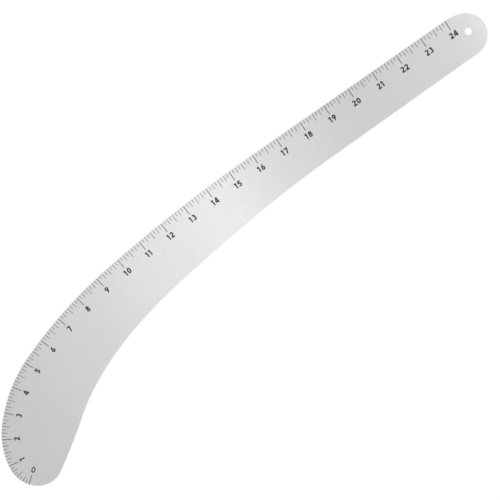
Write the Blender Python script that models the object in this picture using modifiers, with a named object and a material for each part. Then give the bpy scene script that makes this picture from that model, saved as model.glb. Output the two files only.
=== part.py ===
"""Vary form curve: a flat aluminium rule for drawing the shaped seams of clothes patterns.

It is one sheet blade. Its outer edge leaves the hanging end straight and bends ever more tightly into
the hook. That edge carries the scale: marks pressed square to it, at equal steps along it. The inner
edge is plain. The rule lies on z = 0 with its scale face up, and the middle of its outline's box is
over the origin. +X runs along the straight stretch towards the hang hole, and +Y out of the scale.
"""

import math

import bmesh
import bpy
from mathutils import Matrix, Vector
from mathutils.geometry import interpolate_bezier

# Driving dimensions, in metres. Sweeps are in degrees.

# Scale, measured along the outer edge from the hook to the hanging end
SCALE_LENGTH = 0.6096  # 24 inches
NUMBERED_PARTS = 24
STEPS_PER_PART = 8

# Sheet
THICKNESS = 0.0016
EDGE_ROUNDING = 0.0002

# Outer edge from the zero mark, as tangent arcs named for what they draw. The rest is straight.
NECK_RADIUS = 0.0295
NECK_SWEEP = 45.2
ARMHOLE_RADIUS = 0.070
ARMHOLE_SWEEP = 34.4
SLEEVE_RADIUS = 0.1425
SLEEVE_SWEEP = 26.7
HIP_RADIUS = 0.463
HIP_SWEEP = 13.8
HEM_RADIUS = 1.520
HEM_SWEEP = 6.3

# Blade widths, square to the outer edge, and where they are met as shares of the scale
END_WIDTH = 0.0393
LEG_WIDTH = 0.0414
WAIST_WIDTH = 0.0498
CHEST_WIDTH = 0.0580
BELLY_WIDTH = 0.0689
LEG_SHARE = 0.75
WAIST_SHARE = 0.5
CHEST_SHARE = 1 / 3
BELLY_SHARE = 1 / 6

# Ends: the shoulder leads from the last mark into the tip, and the flank from the belly into the nose
SHOULDER_RADIUS = 0.0393
SHOULDER_SWEEP = 23.5
FLANK_RADIUS = 0.630
NOSE_RADIUS = 0.024

# Hang hole, placed from the foot of the last mark
HANG_HOLE_DIAMETER = 0.0069
HANG_HOLE_PAST_SCALE = 0.0120
HANG_HOLE_INSET = 0.0190

# Pressed marks
MARK_DEPTH = 0.00012
FINE_MARK_WIDTH = 0.00044
INCH_MARK_WIDTH = 0.00062
INCH_MARK_LENGTH = 0.00905
HALF_MARK_LENGTH = 0.00725
QUARTER_MARK_LENGTH = 0.0055
EIGHTH_MARK_LENGTH = 0.0037

# Fineness of the model
ARC_SAG = 0.00001  # the furthest that a facet leaves its arc
SPAN_STEPS = 24  # facets in each span of the inner edge
HOLE_SIDES = 48
ROUNDING_STEPS = 2
CUT_OVERRUN = 0.002
WELD_DISTANCE = 0.000001
HANDLE_SHARE = 1 / 3  # of its span, for each handle of the inner edge
SHARP_CORNER = 60  # degrees

OUTER_ARCS = (
    (NECK_RADIUS, math.radians(NECK_SWEEP)),
    (ARMHOLE_RADIUS, math.radians(ARMHOLE_SWEEP)),
    (SLEEVE_RADIUS, math.radians(SLEEVE_SWEEP)),
    (HIP_RADIUS, math.radians(HIP_SWEEP)),
    (HEM_RADIUS, math.radians(HEM_SWEEP)),
)
INNER_STATIONS = (
    (LEG_SHARE, LEG_WIDTH),
    (WAIST_SHARE, WAIST_WIDTH),
    (CHEST_SHARE, CHEST_WIDTH),
    (BELLY_SHARE, BELLY_WIDTH),
)


# The outline is walked clockwise, so the blade lies on the right of every heading.


def ahead(heading):
    return Vector((math.cos(heading), math.sin(heading)))


def inward(heading):
    return Vector((math.sin(heading), -math.cos(heading)))


def heading_round(centre, place):
    """The heading at a place on an arc that turns right about centre."""
    towards = centre - place
    return math.atan2(towards.x, -towards.y)


def turn(place, heading, radius, sweep):
    """Where an arc ends, and its heading there, after it has turned right by sweep."""
    centre = place + radius * inward(heading)
    heading -= sweep
    return centre - radius * inward(heading), heading


def arc(place, heading, radius, sweep):
    """The points of an arc that turns right, without its first."""
    facet = 2 * math.acos(1 - ARC_SAG / radius)
    steps = math.ceil(sweep / facet)
    return [turn(place, heading, radius, sweep * i / steps)[0] for i in range(1, steps + 1)]


def outer_edge(distance):
    """The place and heading at a distance along the outer edge from the zero mark."""
    place = Vector((0, 0))
    heading = sum(sweep for radius, sweep in OUTER_ARCS)
    for radius, sweep in OUTER_ARCS:
        if distance <= radius * sweep:
            return turn(place, heading, radius, distance / radius)
        place, heading = turn(place, heading, radius, sweep)
        distance -= radius * sweep
    return place + distance * ahead(heading), heading


def across(distance, width):
    """The point on the other side of the blade, square to the outer edge."""
    place, heading = outer_edge(distance)
    return place + width * inward(heading)


def outer_points():
    """The outer edge from the zero mark to the last one."""
    place, heading = outer_edge(0)
    points = [place]
    for radius, sweep in OUTER_ARCS:
        points += arc(place, heading, radius, sweep)
        place, heading = turn(place, heading, radius, sweep)
    return points + [outer_edge(SCALE_LENGTH)[0]]


def tip_points(inner_start, inner_heading):
    """The hanging end: the shoulder, then the one arc that also touches the inner edge's straight."""
    place, heading = outer_edge(SCALE_LENGTH)
    sweep = math.radians(SHOULDER_SWEEP)
    points = arc(place, heading, SHOULDER_RADIUS, sweep)
    place, heading = turn(place, heading, SHOULDER_RADIUS, sweep)
    facing = inward(inner_heading)
    radius = (place - inner_start).dot(facing) / (1 - inward(heading).dot(facing))
    return points + arc(place, heading, radius, (heading - inner_heading) % math.tau)


def flank_and_nose():
    """The flank's heading at the belly, and the points from the belly round the nose to the zero mark.

    The nose is an arc that meets the outer edge at the zero mark. The flank is a long arc that
    starts at the belly and touches the nose from outside.
    """
    belly = across(BELLY_SHARE * SCALE_LENGTH, BELLY_WIDTH)
    zero, zero_heading = outer_edge(0)
    nose = zero + NOSE_RADIUS * inward(zero_heading)
    apart = nose - belly
    reach = FLANK_RADIUS - NOSE_RADIUS
    along = (FLANK_RADIUS**2 - reach**2 + apart.length_squared) / (2 * apart.length)
    aside = math.sqrt(FLANK_RADIUS**2 - along**2)
    course = math.atan2(apart.y, apart.x)
    flank = belly + along * ahead(course) + aside * inward(course)
    start = heading_round(flank, belly)
    touch = nose + NOSE_RADIUS * (nose - flank).normalized()
    meet = heading_round(flank, touch)
    points = arc(belly, start, FLANK_RADIUS, (start - meet) % math.tau)
    points += arc(touch, meet, NOSE_RADIUS, (meet - zero_heading) % math.tau)
    return start, points[:-1]


def inner_points(start, end_way):
    """The inner edge: straight to its first station, then one smooth curve through the others."""
    knots = [across(share * SCALE_LENGTH, width) for share, width in INNER_STATIONS]
    ways = [(knots[0] - start).normalized()]
    for before, after in zip(knots, knots[2:]):
        ways.append((after - before).normalized())
    ways.append(end_way)
    points = [knots[0]]
    for i in range(len(knots) - 1):
        pull = HANDLE_SHARE * (knots[i + 1] - knots[i]).length
        near = knots[i] + pull * ways[i]
        far = knots[i + 1] - pull * ways[i + 1]
        points += interpolate_bezier(knots[i], near, far, knots[i + 1], SPAN_STEPS + 1)[1:]
    return points


def outline():
    """The blade's edge, clockwise from the zero mark."""
    start = across(SCALE_LENGTH, END_WIDTH)
    leg = across(LEG_SHARE * SCALE_LENGTH, LEG_WIDTH)
    inner_heading = math.atan2(leg.y - start.y, leg.x - start.x)
    flank_heading, nose_points = flank_and_nose()
    points = outer_points() + tip_points(start, inner_heading)
    return points + inner_points(start, ahead(flank_heading)) + nose_points


# Solids


def finish(name, colour, metallic, roughness):
    """A plain Principled material."""
    material = bpy.data.materials.new(name)
    material.use_nodes = True
    shader = material.node_tree.nodes["Principled BSDF"]
    shader.inputs["Base Color"].default_value = (*colour, 1)
    shader.inputs["Metallic"].default_value = metallic
    shader.inputs["Roughness"].default_value = roughness
    material.diffuse_color = (*colour, 1)
    return material


def new_collection(name):
    collection = bpy.data.collections.new(name)
    bpy.context.scene.collection.children.link(collection)
    return collection


def sheet_curve(points):
    """A flat outline with the sheet's thickness, from z = 0 up."""
    curve = bpy.data.curves.new("blade_outline", "CURVE")
    curve.dimensions = "2D"
    curve.fill_mode = "BOTH"
    curve.extrude = THICKNESS / 2
    spline = curve.splines.new("POLY")
    spline.points.add(len(points) - 1)
    for knot, point in zip(spline.points, points):
        knot.co = (point.x, point.y, 0, 1)
    spline.use_cyclic_u = True
    outline_object = bpy.data.objects.new("blade_outline", curve)
    outline_object.location.z = THICKNESS / 2
    return outline_object


def as_mesh(curve_object, name, collection):
    """The curve as one welded mesh, with each flat face left whole."""
    collection.objects.link(curve_object)
    bpy.context.view_layer.update()
    evaluated = curve_object.evaluated_get(bpy.context.evaluated_depsgraph_get())
    mesh = bpy.data.meshes.new_from_object(evaluated)
    solid = bpy.data.objects.new(name, mesh)
    solid.matrix_world = curve_object.matrix_world
    collection.objects.link(solid)
    bpy.data.objects.remove(curve_object)
    shape = bmesh.new()
    shape.from_mesh(mesh)
    bmesh.ops.remove_doubles(shape, verts=shape.verts, dist=WELD_DISTANCE)
    shape.normal_update()
    seams = [
        edge
        for edge in shape.edges
        if all(abs(face.normal.z) > math.cos(math.radians(SHARP_CORNER)) for face in edge.link_faces)
    ]
    bmesh.ops.dissolve_edges(shape, edges=seams)
    bmesh.ops.recalc_face_normals(shape, faces=shape.faces)
    shape.to_mesh(mesh)
    shape.free()
    mesh.shade_smooth()
    return solid


def new_cutter(name, shape, collection):
    """A cutter from a bmesh, shown as wire only."""
    mesh = bpy.data.meshes.new(name)
    shape.to_mesh(mesh)
    shape.free()
    cutter = bpy.data.objects.new(name, mesh)
    cutter.display_type = "WIRE"
    cutter.hide_render = True
    collection.objects.link(cutter)
    return cutter


def hang_hole_cutter(collection):
    last, heading = outer_edge(SCALE_LENGTH)
    centre = last + HANG_HOLE_PAST_SCALE * ahead(heading) + HANG_HOLE_INSET * inward(heading)
    shape = bmesh.new()
    bmesh.ops.create_cone(
        shape,
        cap_ends=True,
        segments=HOLE_SIDES,
        radius1=HANG_HOLE_DIAMETER / 2,
        radius2=HANG_HOLE_DIAMETER / 2,
        depth=THICKNESS + 2 * CUT_OVERRUN,
        matrix=Matrix.Translation((centre.x, centre.y, THICKNESS / 2)),
    )
    for face in shape.faces:
        face.smooth = abs(face.normal.z) < math.cos(math.radians(SHARP_CORNER))
    return new_cutter("hang_hole_cutter", shape, collection)


def mark_size(step):
    """The width and length of a mark, by what part of an inch it stands for."""
    if step % STEPS_PER_PART == 0:
        return INCH_MARK_WIDTH, INCH_MARK_LENGTH
    if step % (STEPS_PER_PART // 2) == 0:
        return FINE_MARK_WIDTH, HALF_MARK_LENGTH
    if step % (STEPS_PER_PART // 4) == 0:
        return FINE_MARK_WIDTH, QUARTER_MARK_LENGTH
    return FINE_MARK_WIDTH, EIGHTH_MARK_LENGTH


def mark_cutter(collection):
    """One box for each mark, square to the edge, open there and MARK_DEPTH deep."""
    steps = NUMBERED_PARTS * STEPS_PER_PART
    shape = bmesh.new()
    for step in range(steps + 1):
        place, heading = outer_edge(SCALE_LENGTH * step / steps)
        width, length = mark_size(step)
        middle = ((CUT_OVERRUN - length) / 2, THICKNESS + (CUT_OVERRUN - MARK_DEPTH) / 2)
        size = (width, length + CUT_OVERRUN, MARK_DEPTH + CUT_OVERRUN, 1)
        stand = Matrix.Translation((place.x, place.y, 0)) @ Matrix.Rotation(heading, 4, "Z")
        box = Matrix.Translation((0, *middle)) @ Matrix.Diagonal(size)
        bmesh.ops.create_cube(shape, size=1, matrix=stand @ box)
    return new_cutter("mark_cutter", shape, collection)


def cut(solid, cutter):
    modifier = solid.modifiers.new(cutter.name, "BOOLEAN")
    modifier.operation = "DIFFERENCE"
    modifier.object = cutter
    modifier.material_mode = "TRANSFER"


def round_edges(solid):
    modifier = solid.modifiers.new("edge_rounding", "BEVEL")
    modifier.width = EDGE_ROUNDING
    modifier.segments = ROUNDING_STEPS
    modifier.limit_method = "ANGLE"
    modifier.angle_limit = math.radians(SHARP_CORNER)


def build():
    for old in list(bpy.data.objects):
        bpy.data.objects.remove(old)
    parts = new_collection("vary_form_curve")
    cutters = new_collection("cutters")
    aluminium = finish("satin_aluminium", (0.77, 0.77, 0.77), 1, 0.3)
    enamel = finish("mark_enamel", (0.035, 0.035, 0.036), 0, 0.5)

    blade = as_mesh(sheet_curve(outline()), "blade", parts)
    blade.data.materials.append(aluminium)
    hole = hang_hole_cutter(cutters)
    hole.data.materials.append(aluminium)
    marks = mark_cutter(cutters)
    marks.data.materials.append(enamel)
    cut(blade, hole)
    round_edges(blade)
    cut(blade, marks)
    blade.modifiers.new("flat_face_shading", "WEIGHTED_NORMAL")

    corners = [Vector(corner) for corner in blade.bound_box]
    middle = (corners[0] + corners[6]) / 2
    placing = bpy.data.objects.new("scale_zero", None)
    placing.location = (-middle.x, -middle.y, 0)
    parts.objects.link(placing)
    for child in (blade, hole, marks):
        child.parent = placing


build()
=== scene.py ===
"""Looks of the vary form curve: brushed aluminium, enamel in the pressed marks, and the numerals.

The frame's blade lies on z = 0 with its scale face up. +X runs along its straight stretch towards the
hang hole, and +Y out of the graduated edge there. Lengths are in metres.
"""

import math

import bmesh
import bpy
from mathutils import Matrix, Vector


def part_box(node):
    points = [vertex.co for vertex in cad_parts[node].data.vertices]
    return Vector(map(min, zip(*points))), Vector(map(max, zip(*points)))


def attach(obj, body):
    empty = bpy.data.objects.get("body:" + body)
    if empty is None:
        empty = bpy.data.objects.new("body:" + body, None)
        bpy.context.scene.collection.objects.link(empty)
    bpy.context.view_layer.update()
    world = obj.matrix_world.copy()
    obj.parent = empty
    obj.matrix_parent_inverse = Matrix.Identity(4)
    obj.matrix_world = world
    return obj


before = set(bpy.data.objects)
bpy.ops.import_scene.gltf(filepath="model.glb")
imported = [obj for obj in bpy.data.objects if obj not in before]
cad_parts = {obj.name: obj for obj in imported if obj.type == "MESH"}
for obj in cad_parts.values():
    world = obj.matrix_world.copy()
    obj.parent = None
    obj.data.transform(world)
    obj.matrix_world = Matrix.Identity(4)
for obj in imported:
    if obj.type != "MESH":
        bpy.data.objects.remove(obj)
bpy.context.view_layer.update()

# The scale, as in the part's source
SCALE_LENGTH = 0.6096
NUMBERED_PARTS = 24
STEPS_PER_PART = 8
OUTER_ARCS = (  # radius and sweep in degrees, from the zero mark
    (0.0295, 45.2),
    (0.070, 34.4),
    (0.1425, 26.7),
    (0.463, 13.8),
    (1.520, 6.3),
)
OUTER_TURN = sum(sweep for _, sweep in OUTER_ARCS)
MARK_DEPTH = 0.00012
MARK_KINDS = (  # name, steps between marks of the kind or longer ones, width, length
    ("inch_mark_enamel", 8, 0.00062, 0.00905),
    ("half_inch_mark_enamel", 4, 0.00044, 0.00725),
    ("quarter_inch_mark_enamel", 2, 0.00044, 0.0055),
    ("eighth_inch_mark_enamel", 1, 0.00044, 0.0037),
)

# Metal
STREAK_TINTS = ((0.745, 0.745, 0.746, 1), (0.785, 0.785, 0.786, 1))
FINE_STREAK = (0.02, 0.00012)  # along the blade and across it
BROAD_STREAK = (0.08, 0.0016)
FINE_SHARE = 0.6  # of the tint
METAL_ROUGHNESS = (0.25, 0.31)
METAL_ANISOTROPY = 0.88
STREAK_DEPTH = 0.00001
STREAK_STRENGTH = 0.2
NOISE_RANGE = (0.3, 0.7)  # in which nearly all of a noise lies

# Enamel
ENAMEL_COLOUR = (0.035, 0.035, 0.036, 1)
ENAMEL_GRAIN = (0.0004, 0.0004)
ENAMEL_ROUGHNESS = (0.4, 0.6)
ENAMEL_SINK = 0.00002  # of its top, below the scale face
ENAMEL_CLEARANCE = 0.000003  # to the walls of its mark
ENAMEL_FROM_EDGE = 0.00012
PRINT_HEIGHT = 0.00003  # of the numerals, above the scale face

# Numerals
NUMERAL_HEIGHT = 0.0054
ZERO_NUMERAL_HEIGHT = 0.0058
NUMERAL_DEPTH = 0.0139  # from the edge to the middle of a numeral
ZERO_NUMERAL_DEPTH = 0.0145
NUMERAL_NUDGES = {  # along the scale, and degrees to the left
    0: (0.0004, 0),
    1: (0.0015, 6),
    2: (0.0005, 3),
    3: (0.0006, 0),
}
DIGIT_GAP_SHARE = 0.12  # of the height

# Camera
CAMERA_TARGET = Vector((0.00758, 0.00196, 0.0016))
CAMERA_DISTANCE = 1.1106
CAMERA_TURNS = (-6.423, 1.777, -34.808)  # degrees about X, Y and Z
CAMERA_LENS = 90
CAMERA_SENSOR = 36
CAMERA_CLIP = 0.01

# Light
WHITE = (1, 1, 1, 1)
WORLD_STRENGTH = 0.74
LAMP_HEIGHT = 2.0
LAMPS = (  # name, place along X, width along X, power
    ("hook_lamp", -0.66, 0.26, 0.17),
    ("back_lamp", -0.40, 0.22, 0.37),
    ("key_lamp", -0.17, 0.20, 0.52),
    ("front_lamp", 0.06, 0.24, 0.2),
    ("leg_lamp", 0.42, 0.20, 0.13),
    ("tip_lamp", 0.80, 0.30, 1.35),
)
LAMP_LENGTH = 1.2  # along Y
LAMP_PLACE_Y = -0.1
PANELS = 6
PANEL_SIZE = (0.7, 1.2)  # across and up
PANEL_RADIUS = 2.5  # of the ring they stand in
PANEL_MIDDLE = 1.7  # its height
PANEL_POWER = 1

# Floor and backdrop
STAGE_COLOUR = (0.86, 0.86, 0.86, 1)
FLOOR_RADIUS = 12
FLOOR_SIDES = 96
FLOOR_GAP = 0.0001  # to the underside of the blade
BACKDROP_HEIGHT = 2.8  # covers what a low camera sees past the floor
FLOOR_GLOW = 0.34  # white, with the light that falls there, and the shadow still shows
BACKDROP_GLOW = 0.4


def ahead(heading):
    return Vector((math.cos(heading), math.sin(heading)))


def inward(heading):
    return Vector((math.sin(heading), -math.cos(heading)))


def walk(distance):
    """The place and heading at a distance along the outer edge, from the zero mark at the origin."""
    place = Vector((0, 0))
    heading = math.radians(OUTER_TURN)
    for radius, sweep in OUTER_ARCS:
        turned = min(math.radians(sweep), distance / radius)
        centre = place + radius * inward(heading)
        heading -= turned
        place = centre - radius * inward(heading)
        distance -= radius * turned
    return place + distance * ahead(heading), heading


def edge_offset():
    """What brings that walk onto the frame's blade: its leftmost and topmost points lie on the box."""
    low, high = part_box("blade")
    nose_radius = OUTER_ARCS[0][0]
    leftmost, _ = walk(nose_radius * math.radians(OUTER_TURN - 90))
    topmost, _ = walk(SCALE_LENGTH)
    return Vector((low.x - leftmost.x, high.y - topmost.y))


FACE_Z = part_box("blade")[1].z
OFFSET = edge_offset()


def stand(distance, depth, z):
    """A placing on the scale face: +Y towards the edge and +X along it, at a depth in from the edge."""
    place, heading = walk(distance)
    place = place + OFFSET + depth * inward(heading)
    return Matrix.Translation((place.x, place.y, z)) @ Matrix.Rotation(heading, 4, "Z")


def new_object(name, shape):
    """An object of the scene with the shape, which it uses up."""
    mesh = bpy.data.meshes.new(name)
    shape.to_mesh(mesh)
    shape.free()
    made = bpy.data.objects.new(name, mesh)
    bpy.context.scene.collection.objects.link(made)
    return made


def new_piece(name, shape, material):
    piece = new_object(name, shape)
    piece.data.materials.append(material)
    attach(piece, "root")


# Materials


def new_material(name):
    material = bpy.data.materials.new(name)
    material.use_nodes = True
    tree = material.node_tree
    return material, tree, tree.nodes["Principled BSDF"]


def combine(tree, operation, one, other):
    """A Math node on two values, of which the other may be a number."""
    node = tree.nodes.new("ShaderNodeMath")
    node.operation = operation
    tree.links.new(one, node.inputs[0])
    if isinstance(other, bpy.types.NodeSocket):
        tree.links.new(other, node.inputs[1])
    else:
        node.inputs[1].default_value = other
    return node.outputs["Value"]


def streaks(tree, size, detail):
    """Noise drawn out along the grain. The size is that of one streak along X and Y, in metres."""
    place = tree.nodes.new("ShaderNodeTexCoord")
    mapping = tree.nodes.new("ShaderNodeMapping")
    mapping.inputs["Scale"].default_value = (1 / size[0], 1 / size[1], 1 / size[0])
    noise = tree.nodes.new("ShaderNodeTexNoise")
    noise.inputs["Scale"].default_value = 1
    noise.inputs["Detail"].default_value = detail
    tree.links.new(place.outputs["Object"], mapping.inputs["Vector"])
    tree.links.new(mapping.outputs["Vector"], noise.inputs["Vector"])
    return noise.outputs["Fac"]


def spread(tree, value, low, high):
    """A noise value, brought from its usual range to low and high."""
    remap = tree.nodes.new("ShaderNodeMapRange")
    remap.inputs["From Min"].default_value = NOISE_RANGE[0]
    remap.inputs["From Max"].default_value = NOISE_RANGE[1]
    remap.inputs["To Min"].default_value = low
    remap.inputs["To Max"].default_value = high
    tree.links.new(value, remap.inputs["Value"])
    return remap.outputs["Result"]


def aluminium():
    material, tree, shader = new_material("brushed_aluminium")
    fine = streaks(tree, FINE_STREAK, 4)
    broad = streaks(tree, BROAD_STREAK, 2)
    tint = tree.nodes.new("ShaderNodeMix")
    tint.data_type = "RGBA"
    tint.inputs["A"].default_value = STREAK_TINTS[0]
    tint.inputs["B"].default_value = STREAK_TINTS[1]
    broad_part = spread(tree, broad, 0, 1 - FINE_SHARE)
    fine_part = spread(tree, fine, 0, FINE_SHARE)
    tree.links.new(combine(tree, "ADD", broad_part, fine_part), tint.inputs["Factor"])
    tree.links.new(tint.outputs["Result"], shader.inputs["Base Color"])
    tree.links.new(spread(tree, fine, *METAL_ROUGHNESS), shader.inputs["Roughness"])
    shader.inputs["Metallic"].default_value = 1
    shader.inputs["Anisotropic"].default_value = METAL_ANISOTROPY
    across = tree.nodes.new("ShaderNodeTangent")
    across.direction_type = "RADIAL"
    across.axis = "X"
    tree.links.new(across.outputs["Tangent"], shader.inputs["Tangent"])
    bump = tree.nodes.new("ShaderNodeBump")
    bump.inputs["Strength"].default_value = STREAK_STRENGTH
    bump.inputs["Distance"].default_value = STREAK_DEPTH
    tree.links.new(fine, bump.inputs["Height"])
    tree.links.new(bump.outputs["Normal"], shader.inputs["Normal"])
    return material


def enamel():
    material, tree, shader = new_material("black_enamel")
    shader.inputs["Base Color"].default_value = ENAMEL_COLOUR
    grain = streaks(tree, ENAMEL_GRAIN, 3)
    tree.links.new(spread(tree, grain, *ENAMEL_ROUGHNESS), shader.inputs["Roughness"])
    return material


def glowing(name, glow):
    """A matt near-white, with a glow that the camera and reflections see and that lights nothing."""
    material, tree, shader = new_material(name)
    shader.inputs["Base Color"].default_value = STAGE_COLOUR
    shader.inputs["Roughness"].default_value = 1
    shader.inputs["Specular IOR Level"].default_value = 0
    path = tree.nodes.new("ShaderNodeLightPath")
    seen = path.outputs["Is Camera Ray"]
    for kind in ("Is Glossy Ray", "Is Transmission Ray"):
        seen = combine(tree, "MAXIMUM", seen, path.outputs[kind])
    shader.inputs["Emission Color"].default_value = WHITE
    tree.links.new(combine(tree, "MULTIPLY", seen, glow), shader.inputs["Emission Strength"])
    return material


# Enamel in the marks


def mark_kind(step):
    for kind in MARK_KINDS:
        if step % kind[1] == 0:
            return kind


def fill_marks(material):
    """One piece for each kind of mark: a bar in each of its grooves, a hair below the face."""
    steps = NUMBERED_PARTS * STEPS_PER_PART
    shapes = {kind[0]: bmesh.new() for kind in MARK_KINDS}
    for step in range(steps + 1):
        name, _, width, length = mark_kind(step)
        bar = Vector((width, length - ENAMEL_FROM_EDGE, MARK_DEPTH - ENAMEL_SINK))
        bar -= Vector((2, 1, 1)) * ENAMEL_CLEARANCE
        depth = ENAMEL_FROM_EDGE + bar.y / 2
        placing = stand(SCALE_LENGTH * step / steps, depth, FACE_Z - ENAMEL_SINK - bar.z / 2)
        size = Matrix.Diagonal((*bar, 1))
        bmesh.ops.create_cube(shapes[name], size=1, matrix=placing @ size)
    for name, shape in shapes.items():
        new_piece(name, shape, material)


# Numerals: the digits are drawn with a broad pen in a box that is one high, and given as strokes


def bow(centre, radii, start, end):
    """Points about 10 degrees apart along an ellipse, from one angle to another in degrees."""
    steps = round(abs(end - start) / 10)
    angles = [math.radians(start + (end - start) * i / steps) for i in range(steps + 1)]
    return [
        Vector((centre[0] + radii[0] * math.cos(a), centre[1] + radii[1] * math.sin(a)))
        for a in angles
    ]


def line(*points):
    return [Vector(point) for point in points]


PEN = 0.23
WELD = 0.001  # corners that are closer become one
DIGITS = {  # width and strokes; a 9 is a 6 turned over
    "0": (0.66, [bow((0.33, 0.5), (0.215, 0.385), 0, 360)]),
    "1": (0.5, [line((0.28, 0), (0.28, 1)), line((0.229, 0.904), (0.03, 0.774))]),
    "2": (
        0.62,
        [
            bow((0.305, 0.7), (0.19, 0.185), 170, -40) + line((0.1, 0.13)),
            line((0, 0.115), (0.62, 0.115)),
        ],
    ),
    "3": (
        0.62,
        [
            bow((0.29, 0.7225), (0.18, 0.1625), 150, -90),
            bow((0.295, 0.3375), (0.21, 0.2225), 90, -150),
        ],
    ),
    "4": (
        0.68,
        [
            line((0.48, 0), (0.48, 1)),
            line((0.415, 1), (0.127, 0.38)),
            line((0, 0.29), (0.68, 0.29)),
        ],
    ),
    "5": (
        0.62,
        [
            line((0.58, 0.885), (0.17, 0.885), (0.13, 0.5)),
            bow((0.29, 0.3325), (0.215, 0.2175), 125, -150),
        ],
    ),
    "6": (
        0.66,
        [
            bow((0.33, 0.3225), (0.215, 0.2075), 0, 360),
            line((0.155, 0.42), (0.44, 1)),
        ],
    ),
    "7": (0.62, [line((0, 0.885), (0.62, 0.885)), line((0.5, 0.78), (0.22, 0))]),
    "8": (
        0.64,
        [
            bow((0.32, 0.73), (0.175, 0.155), 0, 360),
            bow((0.32, 0.3225), (0.205, 0.2075), 0, 360),
        ],
    ),
}
START_PEN = 0.175  # of the zero that starts the scale
START_ZERO = (0.62, [bow((0.31, 0.5), (0.22, 0.41), 0, 360)])


def ribbon(shape, points, pen):
    """A stroke as a closed body, one thick, with mitred bends: a ring if it ends where it starts.

    A steep straight stroke ends level, and any other square to its way.
    """
    ring = (points[0] - points[-1]).length < WELD
    run = points[-1] - points[0]
    level = len(points) == 2 and abs(run.y) > abs(run.x)
    if ring:
        points = points[:-1]
    left, right = [], []
    for i, point in enumerate(points):
        before = points[i - 1] if ring or i > 0 else None
        after = points[(i + 1) % len(points)] if ring or i + 1 < len(points) else None
        ways = []
        if before is not None:
            ways.append((point - before).normalized())
        if after is not None:
            ways.append((after - point).normalized())
        way = sum(ways, Vector((0, 0))).normalized()
        square = Vector((-1 / way.y, 0)) if level else Vector((-way.y, way.x)) / way.dot(ways[0])
        side = square * (pen / 2)
        left.append(point + side)
        right.append(point - side)

    def row(side, z):
        return [shape.verts.new((v.x, v.y, z)) for v in side]

    rows = [row(left, 0), row(left, 1), row(right, 1), row(right, 0)]
    spans = len(points) if ring else len(points) - 1
    for i in range(spans):
        j = (i + 1) % len(points)
        for k in range(4):
            one, other = rows[k], rows[(k + 1) % 4]
            shape.faces.new((one[i], one[j], other[j], other[i]))
    if not ring:
        shape.faces.new([r[0] for r in rows])
        shape.faces.new([r[-1] for r in reversed(rows)])
    bmesh.ops.recalc_face_normals(shape, faces=shape.faces)


def merged(strokes, pen):
    """The strokes of one digit as one body."""
    made = []
    for points in strokes:
        shape = bmesh.new()
        ribbon(shape, points, pen)
        made.append(new_object("stroke", shape))
    for other in made[1:]:
        modifier = made[0].modifiers.new("union", "BOOLEAN")
        modifier.operation = "UNION"
        modifier.object = other
    bpy.context.view_layer.update()
    evaluated = made[0].evaluated_get(bpy.context.evaluated_depsgraph_get())
    mesh = bpy.data.meshes.new_from_object(evaluated)
    for stroke in made:
        bpy.data.objects.remove(stroke)
    shape = bmesh.new()
    shape.from_mesh(mesh)
    bmesh.ops.remove_doubles(shape, verts=shape.verts, dist=WELD)
    bmesh.ops.dissolve_degenerate(shape, edges=shape.edges, dist=WELD)
    shape.to_mesh(mesh)
    shape.free()
    return mesh


def draw_digits():
    """The width and mesh of each digit, one high and one thick."""
    drawn = {key: (width, merged(strokes, PEN)) for key, (width, strokes) in DIGITS.items()}
    drawn["start"] = (START_ZERO[0], merged(START_ZERO[1], START_PEN))
    width, six = drawn["6"]
    nine = six.copy()
    nine.transform(Matrix.Translation((width, 1, 0)) @ Matrix.Rotation(math.pi, 4, "Z"))
    drawn["9"] = (width, nine)
    return drawn


def print_numerals(material):
    """One piece for each number, in the middle of its inch mark, with its top towards the edge."""
    drawn = draw_digits()
    for number in range(NUMBERED_PARTS + 1):
        height = NUMERAL_HEIGHT if number else ZERO_NUMERAL_HEIGHT
        depth = NUMERAL_DEPTH if number else ZERO_NUMERAL_DEPTH
        text = str(number) if number else ["start"]
        total = sum(drawn[key][0] for key in text) + DIGIT_GAP_SHARE * (len(text) - 1)
        across = -total / 2
        shape = bmesh.new()
        for key in text:
            width, mesh = drawn[key]
            digit = mesh.copy()
            digit.transform(Matrix.Translation((across, -0.5, 0)))
            shape.from_mesh(digit)
            bpy.data.meshes.remove(digit)
            across += width + DIGIT_GAP_SHARE
        along, turned = NUMERAL_NUDGES.get(number, (0, 0))
        placing = stand(SCALE_LENGTH * number / NUMBERED_PARTS + along, depth, FACE_Z)
        placing @= Matrix.Rotation(math.radians(turned), 4, "Z")
        shape.transform(placing @ Matrix.Diagonal((height, height, PRINT_HEIGHT, 1)))
        new_piece(f"numeral_{number}", shape, material)
    for _, mesh in drawn.values():
        bpy.data.meshes.remove(mesh)


# Stage


def make_camera():
    camera = bpy.data.objects.new("camera", bpy.data.cameras.new("camera"))
    camera.data.lens = CAMERA_LENS
    camera.data.sensor_width = CAMERA_SENSOR
    camera.data.clip_start = CAMERA_CLIP
    camera.rotation_euler = [math.radians(turn) for turn in CAMERA_TURNS]
    back = camera.rotation_euler.to_matrix() @ Vector((0, 0, 1))
    camera.location = CAMERA_TARGET + CAMERA_DISTANCE * back
    bpy.context.scene.collection.objects.link(camera)
    bpy.context.scene.camera = camera


def set_on_stage(name, shape, material):
    sheet = new_object(name, shape)
    sheet.data.materials.append(material)


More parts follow.
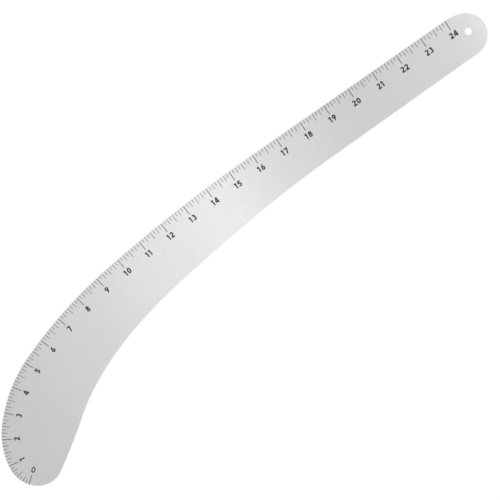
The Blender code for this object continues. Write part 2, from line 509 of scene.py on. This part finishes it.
def make_floor():
    """A round floor, with a low wall round it as the backdrop."""
    shape = bmesh.new()
    bmesh.ops.create_circle(
        shape, cap_ends=True, segments=FLOOR_SIDES, radius=FLOOR_RADIUS,
        matrix=Matrix.Translation((0, 0, -FLOOR_GAP)),
    )
    set_on_stage("floor", shape, glowing("pale_floor", FLOOR_GLOW))
    shape = bmesh.new()
    bmesh.ops.create_cone(
        shape, cap_ends=False, segments=FLOOR_SIDES,
        radius1=FLOOR_RADIUS, radius2=FLOOR_RADIUS, depth=BACKDROP_HEIGHT,
        matrix=Matrix.Translation((0, 0, BACKDROP_HEIGHT / 2 - FLOOR_GAP)),
    )
    set_on_stage("backdrop", shape, glowing("pale_backdrop", BACKDROP_GLOW))


def make_world():
    world = bpy.data.worlds.new("studio")
    world.use_nodes = True
    background = world.node_tree.nodes["Background"]
    background.inputs["Color"].default_value = WHITE
    background.inputs["Strength"].default_value = WORLD_STRENGTH
    bpy.context.scene.world = world


def soft_lamp(name, size, power, place):
    """A lamp that faces down."""
    lamp = bpy.data.lights.new(name, "AREA")
    lamp.shape = "RECTANGLE"
    lamp.size, lamp.size_y = size
    lamp.energy = power
    lit = bpy.data.objects.new(name, lamp)
    lit.location = place
    bpy.context.scene.collection.objects.link(lit)
    return lit


def make_lamps():
    """Soft lamps overhead, side by side along X."""
    for name, across, width, power in LAMPS:
        soft_lamp(name, (width, LAMP_LENGTH), power, (across, LAMP_PLACE_Y, LAMP_HEIGHT))


def make_panels():
    """A ring of upright lamps that face the middle: they give the metal bands of light in low views."""
    for i in range(PANELS):
        bearing = math.tau * (i + 0.5) / PANELS
        place = Vector((math.cos(bearing), math.sin(bearing), 0)) * PANEL_RADIUS
        place.z = PANEL_MIDDLE
        panel = soft_lamp(f"panel_{i + 1}", PANEL_SIZE, PANEL_POWER, place)
        panel.rotation_euler = place.to_track_quat("Z", "Y").to_euler()


make_camera()
make_floor()
make_world()
make_lamps()
make_panels()
bpy.context.scene.view_settings.view_transform = "Standard"

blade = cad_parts["blade"]
blade.data.materials.clear()
blade.data.materials.append(aluminium())
ink = enamel()
fill_marks(ink)
print_numerals(ink)
